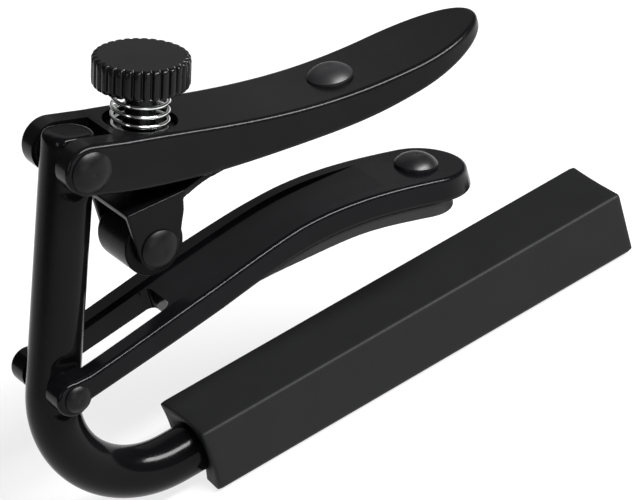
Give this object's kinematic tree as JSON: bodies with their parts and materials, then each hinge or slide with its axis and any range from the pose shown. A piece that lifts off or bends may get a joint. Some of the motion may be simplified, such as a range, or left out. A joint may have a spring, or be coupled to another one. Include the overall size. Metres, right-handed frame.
{
  "type": "lever capo for guitar",
  "caption": "Lever-operated guitar capo: bent round bar with rubber string sleeve, hinged padded cradle and over-centre roller lever with a thumbscrew.",
  "frame": {"origin": "centre of the string face, the flat top of the rubber sleeve that presses the strings", "axes": "+Z from the string face towards the neck and the cradle, +X along the string bar towards its free end, Y along the pivot pins"},
  "size_m": [0.0873, 0.0148, 0.0627],
  "materials": {
    "gloss_black_rod": "gloss black coating",
    "black_lever": "satin-gloss black coating",
    "black_cradle": "satin-gloss black coating",
    "black_strip": "satin black coating",
    "black_rivet": "satin black",
    "black_knob": "satin black, knurled",
    "dark_screw": "dark steel thread",
    "bright_spring": "bright wire",
    "steel_washer": "black oxide steel",
    "dark_bush": "turned, black oxide",
    "black_washer": "black nylon",
    "black_roller": "hard black plastic",
    "sleeve_rubber": "matte dark rubber",
    "pad_rubber": "matte black rubber",
    "stud_rubber": "smooth black rubber"
  },
  "bodies": {
    "frame": {"frame_rod": "gloss_black_rod", "string_sleeve": "sleeve_rubber"},
    "lever": {"closing_lever": "black_lever", "lever_pivot_rivet": "black_rivet", "lever_pivot_washers": "black_washer", "threaded_bush": "dark_bush", "spring_washer": "steel_washer", "adjusting_spring": "bright_spring", "roller_arm_rivet": "black_rivet"},
    "foot": {"screw_foot": "dark_bush"},
    "thumbscrew": {"adjusting_screw": "dark_screw", "adjusting_knob": "black_knob"},
    "arm": {"roller_arm": "black_strip", "roller_axle": "black_rivet"},
    "roller": {"roller": "black_roller"},
    "cradle": {"neck_cradle": "black_cradle", "cradle_pivot_rivet": "black_rivet", "cradle_pivot_washers": "black_washer", "neck_pad": "pad_rubber", "pad_stud": "stud_rubber"}
  },
  "joints": [
    {"name": "lever_pivot", "type": "hinge", "parent": "frame", "child": "lever", "pos_m": [-0.0375, 0, 0.04365], "axis": [0, 1, 0], "range_deg": [-75, 3]},
    {"name": "cradle_pivot", "type": "hinge", "parent": "frame", "child": "cradle", "pos_m": [-0.0486, 0, 0.0152], "axis": [0, 1, 0], "range_deg": [-8, 8]},
    {"name": "screw_travel", "type": "slide", "parent": "lever", "child": "foot", "axis": [-0.3173, 0, -0.9483], "range_m": [-0.0012, 0.0018], "deforming": ["adjusting_spring"]},
    {"name": "screw_turn", "type": "hinge", "parent": "foot", "child": "thumbscrew", "pos_m": [-0.024, 0, 0.0514], "axis": [-0.3173, 0, -0.9483], "range_deg": [-540, 900]},
    {"name": "roller_arm_swing", "type": "hinge", "parent": "lever", "child": "arm", "pos_m": [0, 0, 0.0327], "axis": [0, 1, 0], "range_deg": [-3.5, 2.5]},
    {"name": "roller_spin", "type": "hinge", "parent": "arm", "child": "roller", "pos_m": [-0.0314, 0, 0.028], "axis": [0, 1, 0], "continuous": true}
  ],
  "couplings": [
    {"joint": "screw_travel", "follows": "screw_turn", "m_per_rad": 0.00011141},
    {"joint": "roller_arm_swing", "follows": "screw_turn", "ratio": -0.0035453}
  ]
}
